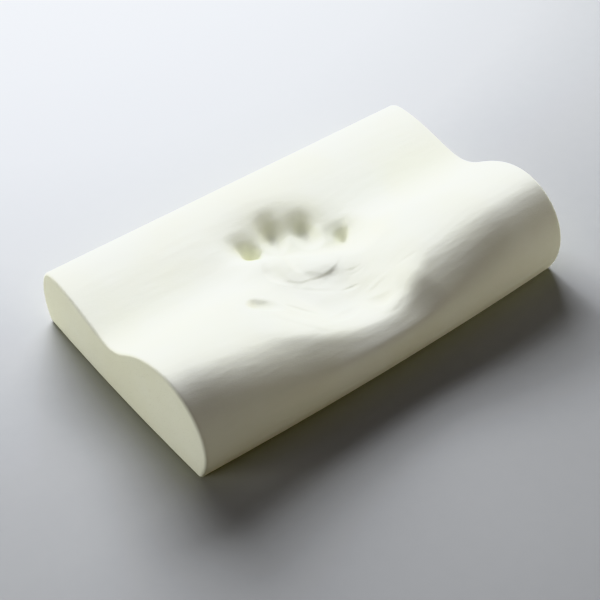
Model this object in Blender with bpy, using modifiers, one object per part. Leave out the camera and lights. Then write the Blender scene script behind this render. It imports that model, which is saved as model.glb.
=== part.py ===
"""Cervical pillow: one block of moulded slow-recovery foam, bare, with a handprint in its top.

Metres, +Z up. X runs along the pillow, the high lobe is at -Y and the low lobe at +Y.
The origin is the centre of the flat base.
"""

import math
from collections import namedtuple

import bmesh
import bpy
import numpy as np

MM = 0.001
NAME = "foam_pillow"

# Driving sizes of the block, in metres
LENGTH = 500 * MM
DEPTH = 310 * MM
FRONT_BOW = 6 * MM
END_BOW = 3 * MM
EDGE_RADIUS = 3.5 * MM
EDGE_SEGMENTS = 3

# How far apart the sections and the points round each section lie
FINE_STEP = 5.6 * MM
COARSE_STEP = 25 * MM
ROUND_STEP = 10 * MM
BASE_STEP = 40 * MM
STEP_GROWTH = 50 * MM

# The stretch of the top that the hand marked, where the steps are fine
HAND_X = (-126 * MM, 80 * MM)
HAND_Y = (-146 * MM, 92 * MM)

# How finely the outline's curve is sampled before it is stepped
CURVE_SAMPLES = 2000

# The smaller copies of the outline that close each end, and their middle's height as a share of the block's
END_RING_SIZES = (0.66, 0.33)
END_MIDDLE = 0.45

# A hand pressing down leaves no mark below the first upward lean of the surface, and its full mark
# above the second
NO_MARK_LEAN = 0.02
FULL_MARK_LEAN = 0.95

FOAM_COLOUR = (0.87, 0.86, 0.77, 1.0)
FOAM_ROUGHNESS = 0.85

# The end outline from the front base edge, over both lobes, to the back base edge, in millimetres
Knot = namedtuple("Knot", "place y z")
OUTLINE = (
    Knot("front base edge", -138.0, 0.0),
    Knot("front tuck", -145.5, 18.0),
    Knot("front bulge", -149.0, 40.0),
    Knot("front shoulder", -143.0, 67.0),
    Knot("front brow", -125.0, 90.0),
    Knot("high lobe front", -100.0, 103.2),
    Knot("high crest", -75.0, 105.5),
    Knot("high lobe back", -49.0, 99.2),
    Knot("slope", -24.0, 85.6),
    Knot("slope foot", 0.0, 69.6),
    Knot("valley", 18.0, 64.2),
    Knot("low lobe foot", 46.0, 67.2),
    Knot("low lobe front", 82.0, 75.4),
    Knot("low crest", 116.0, 79.8),
    Knot("back brow", 138.0, 76.0),
    Knot("back shoulder", 150.5, 58.0),
    Knot("back bulge", 155.0, 36.0),
    Knot("back tuck", 153.0, 15.0),
    Knot("back base edge", 147.0, 0.0),
)

# What the hand pressed, in millimetres and degrees. A mark is a hollow of the given depth.
# Its length lies along X, swung by turn towards Y: left and right are its half lengths, near and far
# its half widths towards and away from the front, and bend bows it towards the back at its ends.
# A body of 1 makes a funnel, 2 a bowl and more a flat floor. A higher softness eases its rim.
# A negative depth is a swelling.
Mark = namedtuple("Mark", "place x y left right near far turn bend depth body softness")
HANDPRINT = (
    Mark("whole hand", -13, -92, 210, 198, 209, 110, -1, 0, 19.6, 3.0, 2.0),
    Mark("palm", -4, -74, 138, 97, 68, 108, -2, 0, 26.4, 2.2, 2.7),
    Mark("heel", 13, -134, 120, 56, 120, 93, 25, 0, 7.3, 2.6, 2.3),
    Mark("finger basin", -5, 21, 112, 150, 50, 87, -39, 0, 12.9, 2.0, 3.0),
    Mark("index funnel", -52, 45, 34, 38, 30, 34, -10, 0, 6.0, 1.7, 3.0),
    Mark("middle funnel", -11, 57, 26, 35, 19, 24, 48, 0, 4.9, 1.7, 3.0),
    Mark("ring funnel", 28, 42, 45, 20, 21, 27, -10, 0, 4.6, 1.7, 3.0),
    Mark("little funnel", 57, -8, 45, 41, 39, 43, -25, 0, 11.3, 2.3, 2.8),
    Mark("index tip", -48, 36, 11, 22, 9, 30, 20, 0, 14.0, 1.4, 2.6),
    Mark("middle tip", -10, 44, 21, 15, 19, 27, -37, 0, 5.4, 2.1, 1.8),
    Mark("ring tip", 24, 27, 18, 16, 18, 25, 1, 0, 6.0, 1.8, 1.6),
    Mark("little tip", 57, 4, 17, 8, 20, 17, -45, 0, 6.1, 1.8, 2.5),
    Mark("finger mound", -17, -1, 104, 110, 57, 30, -23, 0, -11.5, 2.0, 2.8),
    Mark("mound front", -30, -47, 24, 36, 57, 34, 9, 0, -3.7, 2.0, 2.0),
    Mark("palm crease", -31, -103, 27, 28, 6, 11, 8, 4, 1.4, 2.3, 1.6),
    Mark("thumb dent", -106, -46, 13, 31, 10, 17, -37, 0, 6.9, 2.0, 1.8),
    Mark("thumb groove", -85, -88, 35, 36, 8, 10, -55, 0, -1.0, 2.1, 1.6),
)


def smoothstep(low, high, value):
    """0 below low, 1 above high, and a smooth ramp between."""
    share = np.clip((value - low) / (high - low), 0, 1)
    return share * share * (3 - 2 * share)


def natural_spline(knots, count):
    """Points along the smoothest cubic curve through the knots, evenly spread over the knots' chords."""
    knots = np.asarray(knots, float)
    chords = np.linalg.norm(np.diff(knots, axis=0), axis=1)
    at = np.concatenate([[0], np.cumsum(chords)])
    size = len(knots)
    matrix = np.eye(size)
    right = np.zeros((size, 2))
    for i in range(1, size - 1):
        before, after = chords[i - 1], chords[i]
        matrix[i, i - 1 : i + 2] = before, 2 * (before + after), after
        slopes = (knots[i + 1] - knots[i]) / after - (knots[i] - knots[i - 1]) / before
        right[i] = 6 * slopes
    bends = np.linalg.solve(matrix, right)
    where = np.linspace(0, at[-1], count)
    left = np.clip(np.searchsorted(at, where, side="right") - 1, 0, size - 2)
    span = chords[left][:, None]
    b = (where[:, None] - at[left][:, None]) / span
    a = 1 - b
    cubic_a = (a**3 - a) * bends[left]
    cubic_b = (b**3 - b) * bends[left + 1]
    return a * knots[left] + b * knots[left + 1] + (cubic_a + cubic_b) * span**2 / 6


def march(start, end, step_at):
    """Places from start to end, each one step_at(place) beyond the last, stretched to finish on end."""
    places = [start]
    while places[-1] < end:
        places.append(places[-1] + step_at(places[-1]))
    places = np.array(places)
    return start + (places - start) * (end - start) / (places[-1] - start)


def step_near(place, zone, coarse):
    """FINE_STEP within the zone, growing to coarse beyond it."""
    outside = max(zone[0] - place, place - zone[1], 0)
    return FINE_STEP + (coarse - FINE_STEP) * float(smoothstep(0, STEP_GROWTH, outside))


def section_outline():
    """The closed outline in Y and Z, and how far the surface leans upward at each point."""
    curve = natural_spline([(k.y * MM, k.z * MM) for k in OUTLINE], CURVE_SAMPLES)
    lengths = np.linalg.norm(np.diff(curve, axis=0), axis=1)
    travelled = np.concatenate([[0], np.cumsum(lengths)])

    def step_at(distance):
        y = np.interp(distance, travelled, curve[:, 0])
        return step_near(y, HAND_Y, ROUND_STEP)

    stops = march(0, travelled[-1], step_at)
    upper = np.column_stack([np.interp(stops, travelled, curve[:, i]) for i in (0, 1)])
    tangents = np.gradient(upper, axis=0)
    upper_lean = tangents[:, 0] / np.linalg.norm(tangents, axis=1)
    width = upper[-1, 0] - upper[0, 0]
    base_count = math.ceil(width / BASE_STEP) + 1
    base_y = np.linspace(upper[-1, 0], upper[0, 0], base_count)[1:-1]
    base = np.column_stack([base_y, np.zeros_like(base_y)])
    lean = np.concatenate([np.clip(upper_lean, 0, 1), np.zeros(len(base))])
    return np.vstack([upper, base]), lean, len(upper)


def mark_depth(mark, x, y):
    """How deep one mark goes at x and y, in metres."""
    turn = math.radians(mark.turn)
    from_x, from_y = x - mark.x * MM, y - mark.y * MM
    lengthwise = from_x * math.cos(turn) + from_y * math.sin(turn)
    crosswise = from_y * math.cos(turn) - from_x * math.sin(turn)
    along = lengthwise / (np.where(lengthwise < 0, mark.left, mark.right) * MM)
    crosswise = crosswise - mark.bend * MM * along**2
    across = crosswise / (np.where(crosswise < 0, mark.near, mark.far) * MM)
    outwards = np.clip(np.hypot(along, across), 0, 1)
    return mark.depth * MM * (1 - outwards**mark.body) ** mark.softness


def place_section(outline, lean, station):
    """The outline's points at one station along X, bowed and pressed by the hand."""
    share = station / (LENGTH / 2)
    y, z = outline[:, 0], outline[:, 1]
    frontness = smoothstep(0, DEPTH / 2, -y)
    y = y - FRONT_BOW * (1 - share**2) * frontness
    x = station - END_BOW * share**3 * (y / (DEPTH / 2)) ** 2
    pressed = sum(mark_depth(mark, x, y) for mark in HANDPRINT)
    z = z - pressed * smoothstep(NO_MARK_LEAN, FULL_MARK_LEAN, lean)
    return np.column_stack([x, y, z])


def cap_end(bm, ring, outward):
    """Closes one end with two smaller copies of its outline and a middle point."""
    points = np.array([v.co for v in ring])
    middle = np.array([0, 0, END_MIDDLE * points[:, 2].max()])
    rings = [ring]
    for size in END_RING_SIZES:
        inner = middle + (points - middle) * (0, size, size)
        tip = outward * LENGTH / 2
        inner[:, 0] = tip - outward * END_BOW * (inner[:, 1] / (DEPTH / 2)) ** 2
        rings.append([bm.verts.new(p) for p in inner])
    hub = bm.verts.new((outward * LENGTH / 2, 0, middle[2]))
    count = len(ring)
    for outer, inner in zip(rings, rings[1:]):
        for i in range(count):
            j = (i + 1) % count
            bm.faces.new((outer[i], outer[j], inner[j], inner[i]))
    for i in range(count):
        bm.faces.new((rings[-1][i], rings[-1][(i + 1) % count], hub))


def foam_mesh():
    """The block's mesh: sections lofted along X, with both ends closed."""
    outline, lean, upper_count = section_outline()
    half = LENGTH / 2
    stations = march(-half, half, lambda x: step_near(x, HAND_X, COARSE_STEP))
    bm = bmesh.new()
    rings = []
    for station in stations:
        points = place_section(outline, lean, station)
        rings.append([bm.verts.new(p) for p in points])
    count = len(outline)
    for ring, following in zip(rings, rings[1:]):
        for i in range(count):
            j = (i + 1) % count
            bm.faces.new((ring[i], ring[j], following[j], following[i]))
    cap_end(bm, rings[0], -1)
    cap_end(bm, rings[-1], 1)
    bmesh.ops.recalc_face_normals(bm, faces=bm.faces)
    weights = bm.edges.layers.float.new("bevel_weight_edge")
    base_edges = (0, upper_count - 1)
    for ring in (rings[0], rings[-1]):
        for i in range(count):
            edge = bm.edges.get((ring[i], ring[(i + 1) % count]))
            edge[weights] = 1
    for ring, following in zip(rings, rings[1:]):
        for i in base_edges:
            bm.edges.get((ring[i], following[i]))[weights] = 1
    mesh = bpy.data.meshes.new(NAME)
    bm.to_mesh(mesh)
    bm.free()
    return mesh


def foam_material():
    """Matte off-white foam."""
    material = bpy.data.materials.new("moulded_foam")
    material.use_nodes = True
    shader = material.node_tree.nodes["Principled BSDF"]
    shader.inputs["Base Color"].default_value = FOAM_COLOUR
    shader.inputs["Roughness"].default_value = FOAM_ROUGHNESS
    shader.inputs["Metallic"].default_value = 0.0
    return material


def main():
    """Clears the scene and builds the pillow in its own collection."""
    for item in list(bpy.data.objects):
        bpy.data.objects.remove(item)
    collection = bpy.data.collections.new("cervical_pillow")
    bpy.context.scene.collection.children.link(collection)
    pillow = bpy.data.objects.new(NAME, foam_mesh())
    collection.objects.link(pillow)
    pillow.data.materials.append(foam_material())
    bevel = pillow.modifiers.new("rounded_edges", "BEVEL")
    bevel.limit_method = "WEIGHT"
    bevel.width = EDGE_RADIUS
    bevel.segments = EDGE_SEGMENTS
    bevel.use_clamp_overlap = True
    pillow.data.shade_smooth()


if __name__ == "__main__":
    main()
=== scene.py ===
"""Cervical pillow: one block of bare slow-recovery foam, with the print of a hand in its top.

Metres, +Z up. X runs along the pillow, the high lobe lies at -Y and the low lobe at +Y.
"""

import logging
import math
from dataclasses import dataclass, field
from enum import Enum
from typing import Callable, NamedTuple, Sequence

import bpy
import numpy as np
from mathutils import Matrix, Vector


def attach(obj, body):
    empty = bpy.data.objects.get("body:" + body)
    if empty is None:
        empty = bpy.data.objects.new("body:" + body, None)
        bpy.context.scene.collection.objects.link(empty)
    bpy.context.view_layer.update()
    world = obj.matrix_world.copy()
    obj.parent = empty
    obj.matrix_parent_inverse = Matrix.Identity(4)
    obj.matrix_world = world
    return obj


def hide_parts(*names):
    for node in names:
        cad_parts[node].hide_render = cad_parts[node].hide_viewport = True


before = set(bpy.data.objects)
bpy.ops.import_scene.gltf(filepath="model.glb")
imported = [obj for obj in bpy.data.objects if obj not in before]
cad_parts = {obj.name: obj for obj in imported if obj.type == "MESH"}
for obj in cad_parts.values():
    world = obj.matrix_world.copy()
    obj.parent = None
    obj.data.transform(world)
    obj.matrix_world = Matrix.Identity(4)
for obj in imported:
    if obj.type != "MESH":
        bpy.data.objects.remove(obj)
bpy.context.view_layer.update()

LOG = logging.getLogger("cervical_pillow")
MM = 0.001
LENGTH = 500 * MM
EDGE_RADIUS = 3.5 * MM
NOISE_MIDDLE = 0.5

Colour = tuple[float, float, float]


class Knot(NamedTuple):
    """A point on the end outline, in millimetres."""

    place: str
    y: float
    z: float


class Mark(NamedTuple):
    """A hollow that the hand left, in millimetres and degrees; a negative depth is a swelling.

    Its length lies along X, swung by turn towards Y. Left and right are its half lengths, near and far
    its half widths towards and away from the front, and bend bows it towards the back at its ends.
    A body of 1 makes a funnel, 2 a bowl and more a flat floor. A higher softness eases its rim.
    """

    place: str
    x: float
    y: float
    left: float
    right: float
    near: float
    far: float
    turn: float
    bend: float
    depth: float
    body: float
    softness: float


OUTLINE = (
    Knot("front base edge", -138.0, 0.0),
    Knot("front tuck", -145.5, 18.0),
    Knot("front bulge", -149.0, 40.0),
    Knot("front shoulder", -143.0, 67.0),
    Knot("front brow", -125.0, 90.0),
    Knot("high lobe front", -100.0, 103.2),
    Knot("high crest", -75.0, 105.5),
    Knot("high lobe back", -49.0, 99.2),
    Knot("slope", -24.0, 85.6),
    Knot("slope foot", 0.0, 69.6),
    Knot("valley", 18.0, 64.2),
    Knot("low lobe foot", 46.0, 67.2),
    Knot("low lobe front", 82.0, 75.4),
    Knot("low crest", 116.0, 79.8),
    Knot("back brow", 138.0, 76.0),
    Knot("back shoulder", 150.5, 58.0),
    Knot("back bulge", 155.0, 36.0),
    Knot("back tuck", 153.0, 15.0),
    Knot("back base edge", 147.0, 0.0),
)

HANDPRINT = (
    Mark("whole hand", -13, -92, 210, 198, 209, 110, -1, 0, 19.6, 3.0, 2.0),
    Mark("palm", -4, -74, 138, 97, 68, 108, -2, 0, 26.4, 2.2, 2.7),
    Mark("heel", 13, -134, 120, 56, 120, 93, 25, 0, 7.3, 2.6, 2.3),
    Mark("finger basin", -5, 21, 112, 150, 50, 87, -39, 0, 12.9, 2.0, 3.0),
    Mark("index funnel", -52, 45, 34, 38, 30, 34, -10, 0, 6.0, 1.7, 3.0),
    Mark("middle funnel", -11, 57, 26, 35, 19, 24, 48, 0, 4.9, 1.7, 3.0),
    Mark("ring funnel", 28, 42, 45, 20, 21, 27, -10, 0, 4.6, 1.7, 3.0),
    Mark("little funnel", 57, -8, 45, 41, 39, 43, -25, 0, 11.3, 2.3, 2.8),
    Mark("index tip", -48, 36, 11, 22, 9, 30, 20, 0, 14.0, 1.4, 2.6),
    Mark("middle tip", -10, 44, 21, 15, 19, 27, -37, 0, 5.4, 2.1, 1.8),
    Mark("ring tip", 24, 27, 18, 16, 18, 25, 1, 0, 6.0, 1.8, 1.6),
    Mark("little tip", 57, 4, 17, 8, 20, 17, -45, 0, 6.1, 1.8, 2.5),
    Mark("finger mound", -17, -1, 104, 110, 57, 30, -23, 0, -11.5, 2.0, 2.8),
    Mark("mound front", -30, -47, 24, 36, 57, 34, 9, 0, -3.7, 2.0, 2.0),
    Mark("palm crease", -31, -103, 27, 28, 6, 11, 8, 4, 1.4, 2.3, 1.6),
    Mark("thumb dent", -106, -46, 13, 31, 10, 17, -37, 0, 6.9, 2.0, 1.8),
    Mark("thumb groove", -85, -88, 35, 36, 8, 10, -55, 0, -1.0, 2.1, 1.6),
)

FINE_MARKS = (
    Mark("smile left", -44, -32, 13, 15, 12, 4, -40, 4, 0.45, 2.0, 1.5),
    Mark("smile middle", -14, -40, 27, 24, 14, 4, -3, 4, 0.7, 2.0, 1.5),
    Mark("smile right", 8, -38, 19, 23, 14, 5, 17, 6, 0.7, 2.0, 1.5),
    Mark("crease shade", -22, -34, 12, 15, 7, 7, -34, 3, 0.45, 2.0, 1.5),
    Mark("mound edge", -57, -8, 25, 38, 14, 8, 83, -16, 2.5, 2.0, 2.0),
    Mark("mound fold", -26, -1, 26, 51, 7, 7, 74, -6, 1.8, 2.0, 1.6),
    Mark("right wrinkle", 22, -51, 12, 14, 3, 3, -18, 4, 0.35, 2.0, 1.5),
    Mark("far wrinkle", 22, -56, 11, 15, 3, 3, -10, 3, 0.3, 2.0, 1.5),
    Mark("second crease", 4, -67, 14, 13, 3, 3, -13, -1, 0.6, 2.0, 1.5),
    Mark("second line", -28, -54, 32, 30, 4, 4, -32, 5, 0.35, 2.0, 1.5),
    Mark("palm line", -66, -70, 22, 23, 6, 4, -55, -1, 1.3, 2.0, 1.5),
    Mark("heel dent", 12, -106, 17, 17, 11, 12, -30, 7, 2.4, 2.0, 1.8),
    Mark("heel swelling", 17, -120, 20, 21, 8, 8, 10, 2, -0.8, 2.0, 1.5),
    Mark("heel streak", 61, -89, 15, 18, 3, 3, -12, 1, 0.3, 2.0, 1.5),
    Mark("palm ridge", 29, -83, 20, 16, 4, 4, -2, -2, -0.4, 2.0, 1.5),
)


class Wire:
    """A socket of a node tree; Python's operators on it add Math nodes."""

    def __init__(self, graph: "Graph", socket: bpy.types.NodeSocket) -> None:
        """Keeps the graph that the socket belongs to, and the socket."""
        self.graph = graph
        self.socket = socket

    def maths(self, operation: str, *others: "Operand") -> "Wire":
        """Adds a Math node of that operation with this wire first."""
        return self.graph.maths(operation, self, *others)

    def __add__(self, other: "Operand") -> "Wire":
        """Adds the two."""
        return self.maths("ADD", other)

    def __radd__(self, other: "Operand") -> "Wire":
        """Adds the two, with the number first."""
        return self.graph.maths("ADD", other, self)

    def __sub__(self, other: "Operand") -> "Wire":
        """Takes the other away."""
        return self.maths("SUBTRACT", other)

    def __rsub__(self, other: "Operand") -> "Wire":
        """Takes this wire away from the number."""
        return self.graph.maths("SUBTRACT", other, self)

    def __mul__(self, other: "Operand") -> "Wire":
        """Multiplies the two."""
        return self.maths("MULTIPLY", other)

    def __rmul__(self, other: "Operand") -> "Wire":
        """Multiplies the two, with the number first."""
        return self.graph.maths("MULTIPLY", other, self)

    def __truediv__(self, other: "Operand") -> "Wire":
        """Divides by the other."""
        return self.maths("DIVIDE", other)

    def __pow__(self, other: "Operand") -> "Wire":
        """Raises to the other's power."""
        return self.maths("POWER", other)

    def __gt__(self, other: "Operand") -> "Wire":
        """1 where this wire is the greater, and 0 elsewhere."""
        return self.maths("GREATER_THAN", other)


Operand = Wire | float


class Graph:
    """One node tree under construction."""

    def __init__(self, tree: bpy.types.NodeTree) -> None:
        """Keeps the tree."""
        self.tree = tree

    def node(self, kind: str, settings: dict | None = None, inputs: dict | None = None) -> bpy.types.Node:
        """Adds any node.

        Args:
            kind: The node's type name.
            settings: The node's own properties, which are set first.
            inputs: A value or a wire for each input socket, by the socket's name or place.

        Returns:
            The new node.
        """
        node = self.tree.nodes.new(kind)
        for name, value in (settings or {}).items():
            setattr(node, name, value)
        for key, value in (inputs or {}).items():
            if isinstance(value, Wire):
                self.tree.links.new(value.socket, node.inputs[key])
            else:
                node.inputs[key].default_value = value
        return node

    def wire(
        self, kind: str, output: str | int, settings: dict | None = None, inputs: dict | None = None
    ) -> Wire:
        """Adds any node and returns one of its outputs as a wire."""
        return Wire(self, self.node(kind, settings, inputs).outputs[output])

    def maths(self, operation: str, *operands: Operand) -> Wire:
        """Adds a Math node."""
        inputs = dict(enumerate(operands))
        return self.wire("ShaderNodeMath", 0, {"operation": operation}, inputs)

    def ramp(self, value: Wire, low: Operand, high: Operand, start: float = 0.0, end: float = 1.0) -> Wire:
        """Adds a smooth step of a value.

        Args:
            value: The value.
            low: Where the step begins.
            high: Where it ends.
            start: The result at low and below it.
            end: The result at high and above it.

        Returns:
            The result of the step.
        """
        settings = {"interpolation_type": "SMOOTHSTEP"}
        inputs = {"Value": value, "From Min": low, "From Max": high, "To Min": start, "To Max": end}
        return self.wire("ShaderNodeMapRange", "Result", settings, inputs)

    def noise(self, spot: Wire, size: float, detail: float) -> Wire:
        """Smooth noise about NOISE_MIDDLE, with patches of the given size."""
        inputs = {"Vector": spot, "Scale": 1 / size, "Detail": detail}
        return self.wire("ShaderNodeTexNoise", 0, None, inputs)

    def blend(self, share: Operand, first: Operand | Colour, second: Operand | Colour) -> Wire:
        """Mixes two colours.

        Args:
            share: How much of the second colour there is.
            first: A wire, or a plain colour.
            second: A wire, or a plain colour.

        Returns:
            The mixed colour.
        """
        colours = [(*c, 1.0) if isinstance(c, tuple) else c for c in (first, second)]
        # The Mix node repeats its sockets' names, so they are given by place
        inputs = {0: share, 6: colours[0], 7: colours[1]}
        return self.wire("ShaderNodeMix", 2, {"data_type": "RGBA"}, inputs)

    def split(self, vector: Wire) -> tuple[Wire, Wire, Wire]:
        """The three parts of a vector."""
        node = self.node("ShaderNodeSeparateXYZ", None, {"Vector": vector})
        return tuple(Wire(self, socket) for socket in node.outputs)

    def join(self, x: Operand, y: Operand, z: Operand) -> Wire:
        """A vector from its three parts."""
        return self.wire("ShaderNodeCombineXYZ", "Vector", None, {"X": x, "Y": y, "Z": z})

    def link(self, source: Wire, node: bpy.types.Node, key: str | int) -> None:
        """Leads a wire into a node's input."""
        self.tree.links.new(source.socket, node.inputs[key])


def new_node_group(
    name: str, inputs: dict[str, str], outputs: dict[str, str]
) -> tuple[Graph, dict[str, Wire], bpy.types.Node]:
    """Starts a Geometry Nodes group.

    Args:
        name: The group's name.
        inputs: The type of each input socket, by its name.
        outputs: The type of each output socket, by its name.

    Returns:
        The graph, a wire for each input, and the output node.
    """
    tree = bpy.data.node_groups.new(name, "GeometryNodeTree")
    for sockets, way in ((inputs, "INPUT"), (outputs, "OUTPUT")):
        for socket_name, kind in sockets.items():
            tree.interface.new_socket(name=socket_name, in_out=way, socket_type=f"NodeSocket{kind}")
    graph = Graph(tree)
    source = graph.node("NodeGroupInput")
    wires = {socket.name: Wire(graph, socket) for socket in source.outputs if socket.name in inputs}
    return graph, wires, graph.node("NodeGroupOutput")


def smoothstep(low: float, high: float, value: np.ndarray) -> np.ndarray:
    """0 below low, 1 above high, and a smooth ramp between."""
    share = np.clip((value - low) / (high - low), 0, 1)
    return share * share * (3 - 2 * share)


def distance_along(curve: np.ndarray) -> np.ndarray:
    """How far along a curve each of its points lies."""
    return np.concatenate([[0], np.cumsum(np.linalg.norm(np.diff(curve, axis=0), axis=1))])


def natural_spline(knots: Sequence[tuple[float, float]], count: int) -> np.ndarray:
    """Points along the smoothest cubic curve through the knots.

    Args:
        knots: The points that the curve passes through.
        count: How many points to return.

    Returns:
        The points, evenly spread over the knots' chords.
    """
    places = np.asarray(knots, float)
    at = distance_along(places)
    chords = np.diff(at)
    size = len(places)
    matrix = np.eye(size)
    right = np.zeros((size, 2))
    for i in range(1, size - 1):
        before, after = chords[i - 1], chords[i]
        matrix[i, i - 1 : i + 2] = before, 2 * (before + after), after
        right[i] = 6 * ((places[i + 1] - places[i]) / after - (places[i] - places[i - 1]) / before)
    bends = np.linalg.solve(matrix, right)
    where = np.linspace(0, at[-1], count)
    left = np.clip(np.searchsorted(at, where, side="right") - 1, 0, size - 2)
    span = chords[left][:, None]
    b = (where[:, None] - at[left][:, None]) / span
    a = 1 - b
    cubics = (a**3 - a) * bends[left] + (b**3 - b) * bends[left + 1]
    return a * places[left] + b * places[left + 1] + cubics * span**2 / 6


def march(start: float, end: float, step_at: Callable[[float], float]) -> np.ndarray:
    """Places from start to end, stretched to finish on end.

    Args:
        start: The first place.
        end: The last place.
        step_at: How far the next place lies from a place.

    Returns:
        The places in order.
    """
    places = [start]
    while places[-1] < end:
        places.append(places[-1] + step_at(places[-1]))
    spots = np.array(places)
    return start + (spots - start) * (end - start) / (spots[-1] - start)


@dataclass(frozen=True)
class Grading:
    """Mesh steps that are fine where the hand pressed and grow to coarse beyond."""

    zone: tuple[float, float]
    fine: float = 1.25 * MM
    coarse: float = 3.2 * MM
    growth: float = 30 * MM

    def step(self, place: float) -> float:
        """How long the step is at a place."""
        outside = max(self.zone[0] - place, place - self.zone[1], 0)
        return self.fine + (self.coarse - self.fine) * float(smoothstep(0, self.growth, outside))


@dataclass
class Profile:
    """The closed end outline of the block, as graded points with rounded base edges."""

    edge_radius: float = EDGE_RADIUS
    grading: Grading = Grading((-146 * MM, 84 * MM))
    base_step: float = 24 * MM
    samples: int = 4000
    arc_steps: int = 4

    def points(self) -> np.ndarray:
        """Steps along the outline.

        Returns:
            The outline in Y and Z, anticlockwise seen from +X: front base edge, top, back, base.
        """
        curve = natural_spline([(k.y * MM, k.z * MM) for k in OUTLINE], self.samples)
        front, curve_start = self.rounded_corner(curve, 1)
        back, curve_end = self.rounded_corner(curve[::-1], -1)
        kept = curve[curve_start : len(curve) - curve_end]
        travelled = distance_along(kept)
        stops = march(0, travelled[-1], lambda at: self.grading.step(np.interp(at, travelled, kept[:, 0])))
        upper = np.column_stack([np.interp(stops, travelled, kept[:, i]) for i in (0, 1)])
        base_count = math.ceil((back[0, 0] - front[0, 0]) / self.base_step) + 1
        base_y = np.linspace(back[0, 0], front[0, 0], base_count)
        base = np.column_stack([base_y, np.zeros_like(base_y)])[1:-1]
        return np.vstack([front[:-1], upper, back[::-1][1:], base])

    def rounded_corner(self, curve: np.ndarray, way: int) -> tuple[np.ndarray, int]:
        """The arc from the flat base up to the curve at one base edge.

        Args:
            curve: The outline's points, from this edge upwards.
            way: 1 at the front edge and -1 at the back edge.

        Returns:
            The arc's points from the base up, and how many of the curve's points it takes the place of.
        """
        cut = int(np.searchsorted(distance_along(curve), self.edge_radius))
        low = np.array([curve[0, 0] + way * self.edge_radius, 0.0])
        shares = np.linspace(0, 1, self.arc_steps + 1)[:, None]
        arc = (1 - shares) ** 2 * low + 2 * (1 - shares) * shares * curve[0] + shares**2 * curve[cut]
        return arc, cut


@dataclass
class Rail:
    """The rows along X: the stations of the body, the rounded end edges and the rings of the flat ends."""

    length: float = LENGTH
    edge_radius: float = EDGE_RADIUS
    edge_steps: int = 5
    grading: Grading = Grading((-132 * MM, 76 * MM))
    ring_sizes: tuple[float, ...] = (0.85, 0.68, 0.5, 0.3, 0.12, 0.0)

    def rows(self) -> list[tuple[float, float, float]]:
        """Lists the rows in order.

        Returns:
            The place along X, the inset and the size of the outline, row by row.
        """
        flat_end = self.length / 2 - self.edge_radius
        end = []
        for turn in np.linspace(0, math.pi / 2, self.edge_steps + 1)[1:]:
            place = flat_end + self.edge_radius * math.sin(turn)
            end.append((place, self.edge_radius * (1 - math.cos(turn)), 1.0))
        end += [(self.length / 2, self.edge_radius, size) for size in self.ring_sizes]
        start = [(-place, inset, size) for place, inset, size in reversed(end)]
        body = [(float(place), 0.0, 1.0) for place in march(-flat_end, flat_end, self.grading.step)]
        return start + body + end


@dataclass(frozen=True)
class FoamFinish:
    """Bare moulded foam: matte off-white with a fine skin, and open pores on the cut ends, darkened with
    painted shade.
    """

    light: Colour = (0.89, 0.898, 0.69)
    deep: Colour = (0.87, 0.873, 0.645)
    # Painted shade: the darker colour laid into the pores of the cut ends, and how much of it is mixed in
    pore_shade_colour: Colour = (0.55, 0.52, 0.36)
    pore_shade_share: float = 0.35
    roughness: float = 0.86
    roughness_change: float = 0.08
    shine: float = 0.25
    patch_size: float = 90 * MM
    patch_detail: float = 3.0
    patch_edges: tuple[float, float] = (0.3, 0.7)
    grain_size: float = 1.1 * MM
    soft_grain_size: float = 7.7 * MM
    grain_stretch: float = 0.4
    grain_detail: float = 2.0
    grain_share: float = 0.5
    bump_strength: float = 0.55
    bump_height: float = 0.35 * MM
    pore_step: float = 2.6 * MM
    pore_edges: tuple[float, float] = (0.06, 0.22)
    pore_depth: float = 2.0
    end_start: float = 246.5 * MM
    end_reach: float = 1.5 * MM

    def material(self) -> bpy.types.Material:
        """Builds the foam's material.

        Returns:
            The material, with its patterns on Object coordinates.
        """
        material = bpy.data.materials.new("moulded_foam_skin")
        material.use_nodes = True
        graph = Graph(material.node_tree)
        shader = material.node_tree.nodes["Principled BSDF"]
        shader.inputs["Specular IOR Level"].default_value = self.shine
        spot = graph.wire("ShaderNodeTexCoord", "Object")
        x, y, z = graph.split(spot)
        streaked = graph.join(x * self.grain_stretch, y, z)
        pits = self.pores(graph, spot, x)
        patches = graph.ramp(graph.noise(spot, self.patch_size, self.patch_detail), *self.patch_edges)
        tint = graph.blend(patches, self.light, self.deep)
        # Painted shade: the pores are darkened towards pore_shade_colour
        graph.link(graph.blend(pits * self.pore_shade_share, tint, self.pore_shade_colour), shader, "Base Color")
        fine = graph.noise(streaked, self.grain_size, self.grain_detail)
        soft = graph.noise(streaked, self.soft_grain_size, self.grain_detail)
        graph.link(self.roughness + (fine - NOISE_MIDDLE) * self.roughness_change, shader, "Roughness")
        height = fine * self.grain_share + soft - pits * self.pore_depth
        inputs = {"Strength": self.bump_strength, "Distance": self.bump_height, "Height": height}
        graph.link(graph.wire("ShaderNodeBump", "Normal", None, inputs), shader, "Normal")
        return material

    def pores(self, graph: Graph, spot: Wire, x: Wire) -> Wire:
        """Marks the open pores of the cut ends; the mask darkens them with painted shade and dips them in
        the bump.

        Args:
            graph: The material's graph.
            spot: The Object coordinates.
            x: Their X part.

        Returns:
            1 in a pore and 0 elsewhere.
        """
        on_cut = graph.ramp(x.maths("ABSOLUTE"), self.end_start, self.end_start + self.end_reach)
        inputs = {"Vector": spot, "Scale": 1 / self.pore_step}
        middles = graph.wire("ShaderNodeTexVoronoi", "Distance", None, inputs)
        return graph.ramp(middles, *self.pore_edges, 1.0, 0.0) * on_cut


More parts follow.
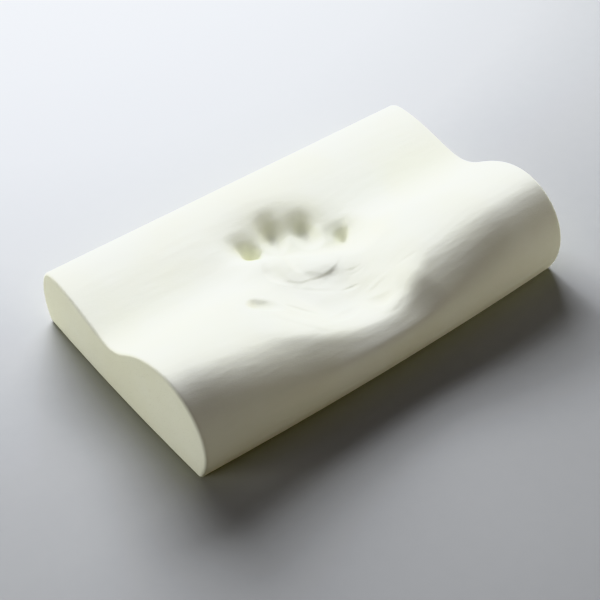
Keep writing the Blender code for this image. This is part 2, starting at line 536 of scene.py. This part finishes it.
@dataclass
class PointReader:
    """Reads a helper mesh, point by point, inside a node tree."""

    graph: Graph
    source: Wire
    at: Wire

    def value(self, field_wire: Wire, kind: str) -> Wire:
        """Reads one field.

        Args:
            field_wire: The field.
            kind: Its data type.

        Returns:
            The field's value at the point.
        """
        settings = {"data_type": kind, "domain": "POINT"}
        inputs = {0: self.source, "Value": field_wire, "Index": self.at}
        return self.graph.wire("GeometryNodeSampleIndex", 0, settings, inputs)

    def place(self) -> tuple[Wire, Wire, Wire]:
        """The point's X, Y and Z."""
        position = self.graph.wire("GeometryNodeInputPosition", 0)
        return self.graph.split(self.value(position, "FLOAT_VECTOR"))

    def column(self, name: str) -> Wire:
        """The point's number in a named column."""
        settings, inputs = {"data_type": "FLOAT"}, {"Name": name}
        return self.value(self.graph.wire("GeometryNodeInputNamedAttribute", 0, settings, inputs), "FLOAT")


@dataclass(frozen=True)
class Ripples:
    """The long shallow ripples of the moulded skin, which run along the pillow."""

    height: float = 0.3 * MM
    size: float = 7.0 * MM
    stretch: float = 0.13
    detail: float = 1.5
    base_start: float = 12 * MM
    base_end: float = 30 * MM
    end_start: float = 225 * MM
    end_stop: float = 243 * MM

    def lift(self, graph: Graph) -> Wire:
        """How far the ripples lift the surface at a point, and nothing near the base and the ends.

        Args:
            graph: The block's graph.

        Returns:
            The offset as a vector along the surface's normal.
        """
        x, y, z = graph.split(graph.wire("GeometryNodeInputPosition", 0))
        wave = graph.noise(graph.join(x * self.stretch, y, z), self.size, self.detail) - NOISE_MIDDLE
        above_base = graph.ramp(z, self.base_start, self.base_end)
        inside = graph.ramp(x.maths("ABSOLUTE"), self.end_start, self.end_stop, 1.0, 0.0)
        normal = graph.wire("GeometryNodeInputNormal", 0)
        inputs = {0: normal, "Scale": wave * self.height * above_base * inside}
        return graph.wire("ShaderNodeVectorMath", 0, {"operation": "SCALE"}, inputs)


@dataclass
class FoamBlock:
    """The pillow's one piece: the outline swept along X, bowed, and pressed by the hand."""

    length: float = LENGTH
    depth: float = 310 * MM
    front_bow: float = 6 * MM
    end_bow: float = 3 * MM
    hub_height: float = 47.5 * MM
    low_part: float = 20 * MM
    no_mark_lean: float = 0.02
    full_mark_lean: float = 0.95
    weld: float = 0.005 * MM
    profile: Profile = field(default_factory=Profile)
    rail: Rail = field(default_factory=Rail)
    ripples: Ripples = field(default_factory=Ripples)
    finish: FoamFinish = field(default_factory=FoamFinish)

    def helper(self, name: str, places: np.ndarray, columns: dict[str, np.ndarray]) -> bpy.types.Object:
        """Makes a loose-point mesh that the tree reads rows or outline points from.

        Args:
            name: The helper's name.
            places: The points.
            columns: A number for each point, by the column's name.

        Returns:
            The helper object.
        """
        mesh = bpy.data.meshes.new(name)
        mesh.from_pydata([tuple(p) for p in places], [], [])
        for column, values in columns.items():
            layer = mesh.attributes.new(column, "FLOAT", "POINT")
            layer.data.foreach_set("value", np.ascontiguousarray(values, np.float32))
        item = bpy.data.objects.new(name, mesh)
        bpy.context.scene.collection.objects.link(item)
        return item

    def outline_helper(self) -> tuple[bpy.types.Object, int]:
        """Lays out the outline's points with their outward directions and upward leans.

        Returns:
            The helper object, and how many points it has.
        """
        points = self.profile.points()
        tangents = np.roll(points, -1, axis=0) - np.roll(points, 1, axis=0)
        tangents /= np.linalg.norm(tangents, axis=1)[:, None]
        lean = np.where(points[:, 1] > self.low_part, np.clip(tangents[:, 0], 0, 1), 0)
        places = np.column_stack([np.zeros(len(points)), points])
        columns = {"lean": lean, "outward_y": -tangents[:, 1], "outward_z": tangents[:, 0]}
        return self.helper("outline_points", places, columns), len(points)

    def rail_helper(self) -> tuple[bpy.types.Object, int]:
        """Lays out the rows along X with their insets and sizes.

        Returns:
            The helper object, and how many rows it has.
        """
        rows = np.array(self.rail.rows())
        places = np.column_stack([rows[:, 0], np.zeros((len(rows), 2))])
        return self.helper("rail_points", places, {"inset": rows[:, 1], "size": rows[:, 2]}), len(rows)

    def mark_group(self) -> bpy.types.NodeTree:
        """Builds the group that gives the depth of one mark at a spot.

        Returns:
            The group's tree.
        """
        names = ("X", "Y", "Left", "Right", "Near", "Far", "Turn", "Bend", "Depth", "Body", "Softness")
        inputs = {"Spot X": "Float", "Spot Y": "Float", **{name: "Float" for name in names}}
        graph, wires, output = new_node_group("hand_mark", inputs, {"Hollow": "Float"})
        cosine, sine = wires["Turn"].maths("COSINE"), wires["Turn"].maths("SINE")
        from_x, from_y = wires["Spot X"] - wires["X"], wires["Spot Y"] - wires["Y"]
        lengthwise = from_x * cosine + from_y * sine
        half_length = wires["Left"] + (wires["Right"] - wires["Left"]) * (lengthwise > 0.0)
        along = lengthwise / half_length
        crosswise = from_y * cosine - from_x * sine - wires["Bend"] * along * along
        half_width = wires["Near"] + (wires["Far"] - wires["Near"]) * (crosswise > 0.0)
        across = crosswise / half_width
        outwards = (along * along + across * across).maths("SQRT").maths("MINIMUM", 1.0)
        body = (1.0 - outwards ** wires["Body"]).maths("MAXIMUM", 0.0)
        graph.link(wires["Depth"] * body ** wires["Softness"], output, "Hollow")
        return graph.tree

    def hand(self, graph: Graph, x: Wire, y: Wire) -> Wire:
        """Adds up all marks at a spot.

        Args:
            graph: The block's graph.
            x: The spot along the pillow.
            y: The spot from front to back.

        Returns:
            How deep the hand pressed there.
        """
        group = self.mark_group()
        total = None
        for mark in HANDPRINT + FINE_MARKS:
            inputs = {
                "Spot X": x,
                "Spot Y": y,
                "X": mark.x * MM,
                "Y": mark.y * MM,
                "Left": mark.left * MM,
                "Right": mark.right * MM,
                "Near": mark.near * MM,
                "Far": mark.far * MM,
                "Turn": math.radians(mark.turn),
                "Bend": mark.bend * MM,
                "Depth": mark.depth * MM,
                "Body": mark.body,
                "Softness": mark.softness,
            }
            settings = {"node_tree": group, "label": mark.place}
            hollow = graph.wire("GeometryNodeGroup", "Hollow", settings, inputs)
            total = hollow if total is None else total + hollow
        return total

    def surface(self, graph: Graph, wires: dict[str, Wire], columns: Wire) -> Wire:
        """Places the points of the grid on the bowed and pressed surface.

        Args:
            graph: The block's graph.
            wires: The group's inputs, by name.
            columns: How many points each row of the grid has.

        Returns:
            The place of each point.
        """
        index = graph.wire("GeometryNodeInputIndex", 0)
        row = (index / columns).maths("FLOOR")
        column = (index - row * columns).maths("MODULO", wires["Outline points"])
        helpers = [
            graph.wire("GeometryNodeObjectInfo", "Geometry", None, {"Object": wires[name]})
            for name in ("Outline", "Rail")
        ]
        outline = PointReader(graph, helpers[0], column)
        rail = PointReader(graph, helpers[1], row)
        _, outline_y, outline_z = outline.place()
        station, _, _ = rail.place()
        inset, size = rail.column("inset"), rail.column("size")
        hub = wires["Hub height"]
        y = (outline_y - outline.column("outward_y") * inset) * size
        z = hub + (outline_z - outline.column("outward_z") * inset - hub) * size
        share = station / (wires["Length"] / 2.0)
        frontness = graph.ramp(0.0 - y, 0.0, wires["Depth"] / 2.0)
        bowed_y = y - wires["Front bow"] * (1.0 - share * share) * frontness
        side = bowed_y / (wires["Depth"] / 2.0)
        bowed_x = station - wires["End bow"] * share * share * share * side * side
        reach = graph.ramp(outline.column("lean"), self.no_mark_lean, self.full_mark_lean) * size
        return graph.join(bowed_x, bowed_y, z - self.hand(graph, bowed_x, bowed_y) * reach)

    def tree(self) -> bpy.types.NodeTree:
        """Builds the tree that sweeps the outline, presses it, ripples it and gives it its material.

        Returns:
            The modifier's tree.
        """
        inputs = {
            "Geometry": "Geometry",
            "Outline": "Object",
            "Rail": "Object",
            "Outline points": "Int",
            "Rows": "Int",
            "Length": "Float",
            "Depth": "Float",
            "Front bow": "Float",
            "End bow": "Float",
            "Hub height": "Float",
            "Foam": "Material",
        }
        graph, wires, output = new_node_group("pressed_foam_block", inputs, {"Geometry": "Geometry"})
        columns = wires["Outline points"] + 1.0
        size = {"Vertices X": wires["Rows"], "Vertices Y": columns}
        made = graph.wire("GeometryNodeMeshGrid", "Mesh", None, size)
        steps = (
            ("GeometryNodeSetPosition", {"Position": self.surface(graph, wires, columns)}),
            ("GeometryNodeMergeByDistance", {"Distance": self.weld}),
            ("GeometryNodeSetPosition", {"Offset": self.ripples.lift(graph)}),
            ("GeometryNodeSetShadeSmooth", {}),
            ("GeometryNodeRealizeInstances", {}),
            ("GeometryNodeSetMaterial", {"Material": wires["Foam"]}),
        )
        for kind, values in steps:
            made = graph.wire(kind, 0, None, {"Geometry": made, **values})
        graph.link(made, output, "Geometry")
        return graph.tree

    def build(self) -> bpy.types.Object:
        """Returns:
            The foam block as a plain mesh object.
        """
        outline, outline_count = self.outline_helper()
        rail, row_count = self.rail_helper()
        piece = bpy.data.objects.new("foam_block", bpy.data.meshes.new("foam_block"))
        bpy.context.scene.collection.objects.link(piece)
        modifier = piece.modifiers.new("pressed_foam_block", "NODES")
        modifier.node_group = self.tree()
        values = {
            "Outline": outline,
            "Rail": rail,
            "Outline points": outline_count,
            "Rows": row_count,
            "Length": self.length,
            "Depth": self.depth,
            "Front bow": self.front_bow,
            "End bow": self.end_bow,
            "Hub height": self.hub_height,
            "Foam": self.finish.material(),
        }
        for item in modifier.node_group.interface.items_tree:
            if item.in_out == "INPUT" and item.name in values:
                modifier[item.identifier] = values[item.name]
        evaluated = piece.evaluated_get(bpy.context.evaluated_depsgraph_get())
        mesh = bpy.data.meshes.new_from_object(evaluated)
        piece.modifiers.remove(modifier)
        mesh.name = "foam_block"
        piece.data = mesh
        for helper in (outline, rail):
            bpy.data.objects.remove(helper)
        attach(piece, "root")
        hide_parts("foam_pillow")
        return piece


class Lamp(Enum):
    """The soft lights of the studio."""

    KEY = "key_softbox"
    LOW_KEY = "low_key_softbox"
    LEFT_FILL = "left_fill"
    RIGHT_FILL = "right_fill"
    WARM_FILL = "warm_fill"
    TOP_FILL = "top_fill"


@dataclass(frozen=True)
class Softbox:
    """One area light, aimed at the pillow; azimuth is from +Y towards +X, in degrees."""

    lamp: Lamp
    azimuth: float
    elevation: float
    distance: float
    width: float
    height: float
    power: float
    colour: Colour
    aim: tuple[float, float, float] = (0.0, 0.0, 50 * MM)

    def build(self) -> bpy.types.Object:
        """Hangs the light.

        Returns:
            The light's object.
        """
        light = bpy.data.lights.new(self.lamp.value, "AREA")
        light.shape = "RECTANGLE"
        light.size = self.width
        light.size_y = self.height
        light.energy = self.power
        light.color = self.colour
        item = bpy.data.objects.new(self.lamp.value, light)
        bpy.context.scene.collection.objects.link(item)
        around, up = math.radians(self.azimuth), math.radians(self.elevation)
        away = Vector((math.sin(around) * math.cos(up), math.cos(around) * math.cos(up), math.sin(up)))
        item.location = Vector(self.aim) + away * self.distance
        item.rotation_euler = (-away).to_track_quat("-Z", "Y").to_euler()
        return item


@dataclass(frozen=True)
class PaperFinish:
    """Matte pale grey paper with a faint mottle."""

    colour: Colour = (0.4, 0.404, 0.345)
    mottle_size: float = 17 * MM
    mottle_detail: float = 4.0
    darkening: float = 0.96
    roughness: float = 0.75
    shine: float = 0.3

    def material(self) -> bpy.types.Material:
        """Builds the floor's material.

        Returns:
            The material, with its mottle on Object coordinates.
        """
        material = bpy.data.materials.new("paper_floor")
        material.use_nodes = True
        graph = Graph(material.node_tree)
        shader = material.node_tree.nodes["Principled BSDF"]
        spot = graph.wire("ShaderNodeTexCoord", "Object")
        mottle = graph.noise(spot, self.mottle_size, self.mottle_detail)
        darker = tuple(channel * self.darkening for channel in self.colour)
        graph.link(graph.blend(mottle, self.colour, darker), shader, "Base Color")
        shader.inputs["Roughness"].default_value = self.roughness
        shader.inputs["Specular IOR Level"].default_value = self.shine
        return material


@dataclass
class Studio:
    """The pale floor, the lights and the camera."""

    floor_size: float = 14.0
    floor_drop: float = 0.3 * MM
    floor_finish: PaperFinish = field(default_factory=PaperFinish)
    camera_place: tuple[float, float, float] = (-0.6713, -0.8246, 1.0073)
    camera_yaw: float = 38.66
    camera_pitch: float = 43.66
    lens: float = 77.75
    sensor: float = 36.0
    tone_curve: str = "Khronos PBR Neutral"
    softboxes: tuple[Softbox, ...] = (
        Softbox(Lamp.KEY, 20, 38, 1.8, 1.6, 0.8, 59.5, (0.8, 0.82, 1.0)),
        Softbox(Lamp.LOW_KEY, 10, 26, 1.3, 0.7, 0.5, 24.5, (0.8, 0.82, 1.0)),
        Softbox(Lamp.LEFT_FILL, -80, 14, 2.2, 1.4, 0.8, 20.6, (0.96, 0.95, 1.0)),
        Softbox(Lamp.RIGHT_FILL, 112, 10, 2.2, 1.0, 0.6, 18.7, (0.856, 0.885, 0.92)),
        Softbox(Lamp.WARM_FILL, 150, 10, 2.4, 1.2, 0.6, 4.4, (1.0, 0.7, 0.6)),
        Softbox(Lamp.TOP_FILL, 0, 84, 2.2, 1.6, 1.6, 2.8, (0.45, 0.4, 0.92)),
    )

    def floor(self) -> bpy.types.Object:
        """Lays the floor.

        Returns:
            The floor's object.
        """
        half = self.floor_size / 2
        turns = ((-half, -half), (half, -half), (half, half), (-half, half))
        corners = [(x, y, -self.floor_drop) for x, y in turns]
        mesh = bpy.data.meshes.new("floor")
        mesh.from_pydata(corners, [], [(0, 1, 2, 3)])
        mesh.materials.append(self.floor_finish.material())
        item = bpy.data.objects.new("floor", mesh)
        bpy.context.scene.collection.objects.link(item)
        return item

    def camera(self) -> bpy.types.Object:
        """Sets up the camera at the photograph's angle.

        Returns:
            The camera's object.
        """
        camera = bpy.data.cameras.new("camera")
        camera.sensor_width = self.sensor
        camera.lens = self.lens
        item = bpy.data.objects.new("camera", camera)
        bpy.context.scene.collection.objects.link(item)
        yaw, pitch = math.radians(self.camera_yaw), math.radians(self.camera_pitch)
        level = math.cos(pitch)
        forward = Vector((math.sin(yaw) * level, math.cos(yaw) * level, -math.sin(pitch)))
        item.location = self.camera_place
        item.rotation_euler = forward.to_track_quat("-Z", "Y").to_euler()
        bpy.context.scene.camera = item
        return item

    def room(self) -> None:
        """Makes the room dark, so that only the softboxes light it, and sets the tone curve."""
        world = bpy.data.worlds.new("room")
        world.use_nodes = True
        world.node_tree.nodes["Background"].inputs["Strength"].default_value = 0.0
        bpy.context.scene.world = world
        bpy.context.scene.view_settings.view_transform = self.tone_curve

    def build(self) -> None:
        """Builds the whole stage."""
        self.camera()
        self.floor()
        self.room()
        for softbox in self.softboxes:
            softbox.build()


def main() -> None:
    """Builds the stage and the pillow, and reports the pillow's one piece."""
    logging.basicConfig(level=logging.INFO, format="%(message)s")
    Studio().build()
    pillow = FoamBlock().build()
    LOG.info("%s: %d faces", pillow.name, len(pillow.data.polygons))


if __name__ == "__main__":
    main()
